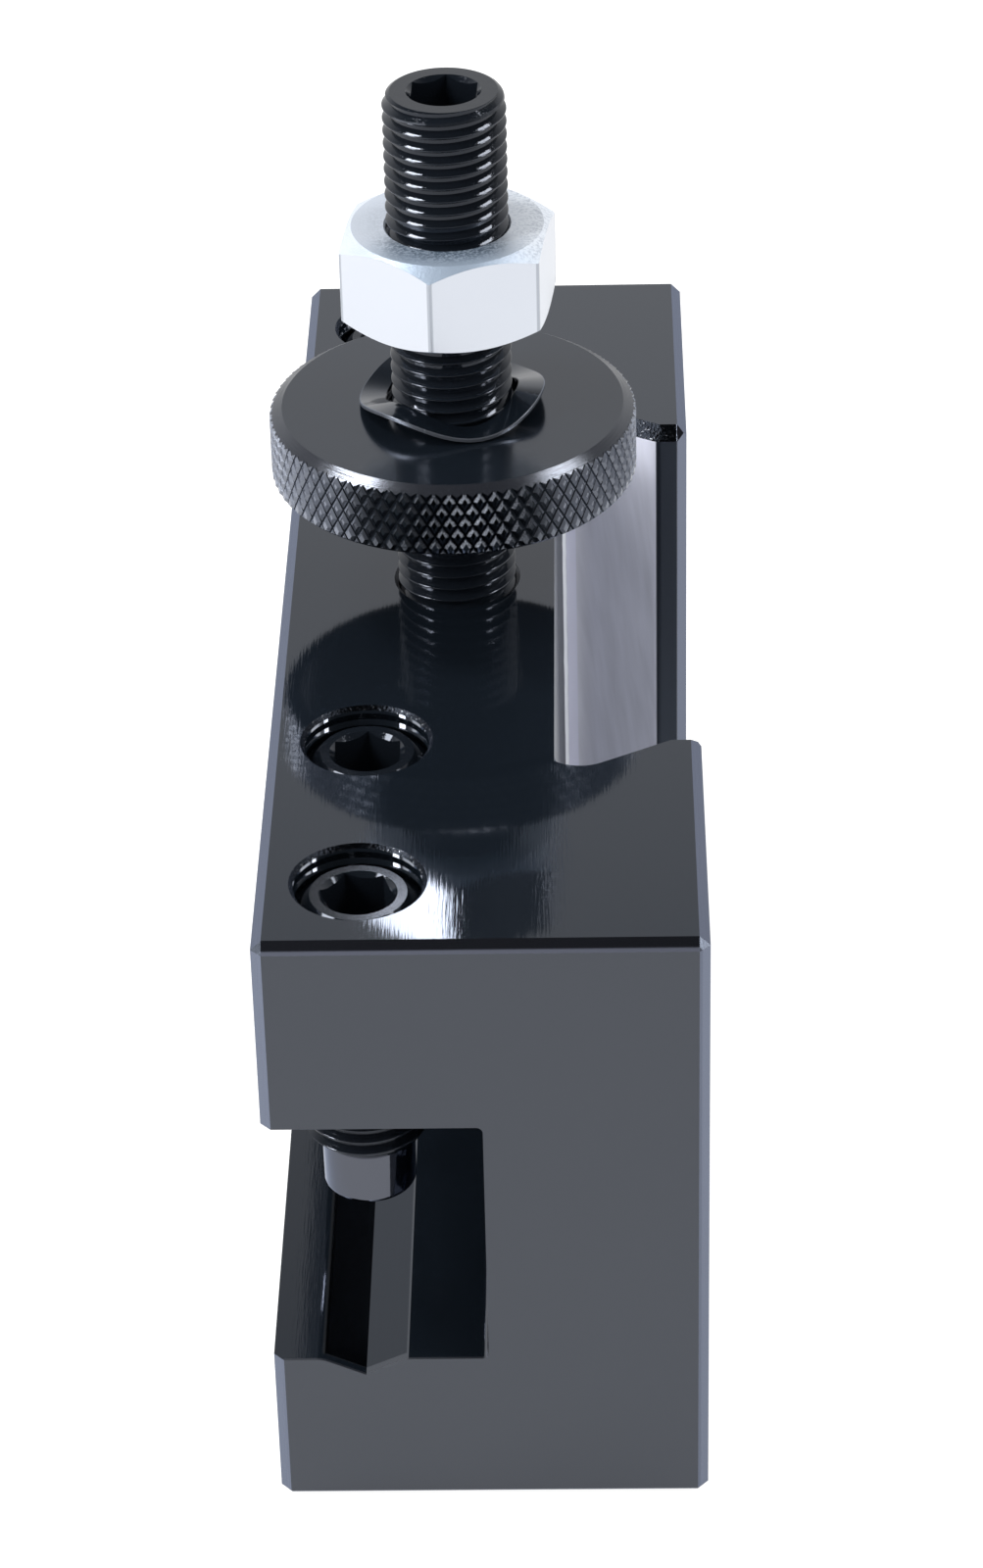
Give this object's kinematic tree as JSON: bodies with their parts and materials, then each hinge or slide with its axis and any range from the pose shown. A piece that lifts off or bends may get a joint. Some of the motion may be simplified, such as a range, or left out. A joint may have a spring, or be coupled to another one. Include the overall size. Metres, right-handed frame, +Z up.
{
  "type": "tool post holder",
  "caption": "Black steel lathe tool holder: side tool slot with set screws, dovetail back, and a knurled height nut and lock nut on a stud.",
  "frame": {"origin": "centre of the block's flat bottom face", "axes": "+Z up along the height stud, +Y along the tool slot, +X out of the dovetail mouth"},
  "size_m": [0.0335, 0.1044, 0.0944],
  "materials": {
    "black_oxide_block": "ground and black oxide finished, lightly oiled",
    "black_screw_steel": "glossy black oxide with oil",
    "black_oxide_nut": "turned, black oxide, knurled rim",
    "black_spring_steel": "glossy black",
    "zinc_plate": "bright zinc plate"
  },
  "bodies": {
    "holder": {"tool_holder_block": "black_oxide_block", "height_stud": "black_screw_steel"},
    "washer": {"spring_washer": "black_spring_steel"},
    "height_nut": {"height_nut": "black_oxide_nut"},
    "lock_nut": {"lock_nut": "zinc_plate"},
    "clamp_screw_1": {"clamp_screw_1": "black_screw_steel"},
    "clamp_screw_2": {"clamp_screw_2": "black_screw_steel"},
    "clamp_screw_3": {"clamp_screw_3": "black_screw_steel"},
    "clamp_screw_4": {"clamp_screw_4": "black_screw_steel"}
  },
  "joints": [
    {"name": "height_nut_travel", "type": "slide", "parent": "holder", "child": "washer", "axis": [0, 0, 1], "range_m": [-0.0098, 0.003]},
    {"name": "height_nut_turn", "type": "hinge", "parent": "washer", "child": "height_nut", "pos_m": [-0.0025, 0, 0.0649], "axis": [0, 0, 1], "range_deg": [-3330, 1020]},
    {"name": "lock_nut_travel", "type": "slide", "parent": "holder", "child": "lock_nut", "axis": [0, 0, 1], "range_m": [-0.003, 0.01]},
    {"name": "clamp_screw_1_travel", "type": "slide", "parent": "holder", "child": "clamp_screw_1", "axis": [0, 0, 1], "range_m": [-0.0105, 0.0107]},
    {"name": "clamp_screw_2_travel", "type": "slide", "parent": "holder", "child": "clamp_screw_2", "axis": [0, 0, 1], "range_m": [-0.0105, 0.0107]},
    {"name": "clamp_screw_3_travel", "type": "slide", "parent": "holder", "child": "clamp_screw_3", "axis": [0, 0, 1], "range_m": [-0.0105, 0.0107]},
    {"name": "clamp_screw_4_travel", "type": "slide", "parent": "holder", "child": "clamp_screw_4", "axis": [0, 0, 1], "range_m": [-0.0105, 0.0107]}
  ],
  "couplings": [
    {"joint": "height_nut_travel", "follows": "height_nut_turn", "m_per_rad": 0.00016844}
  ]
}
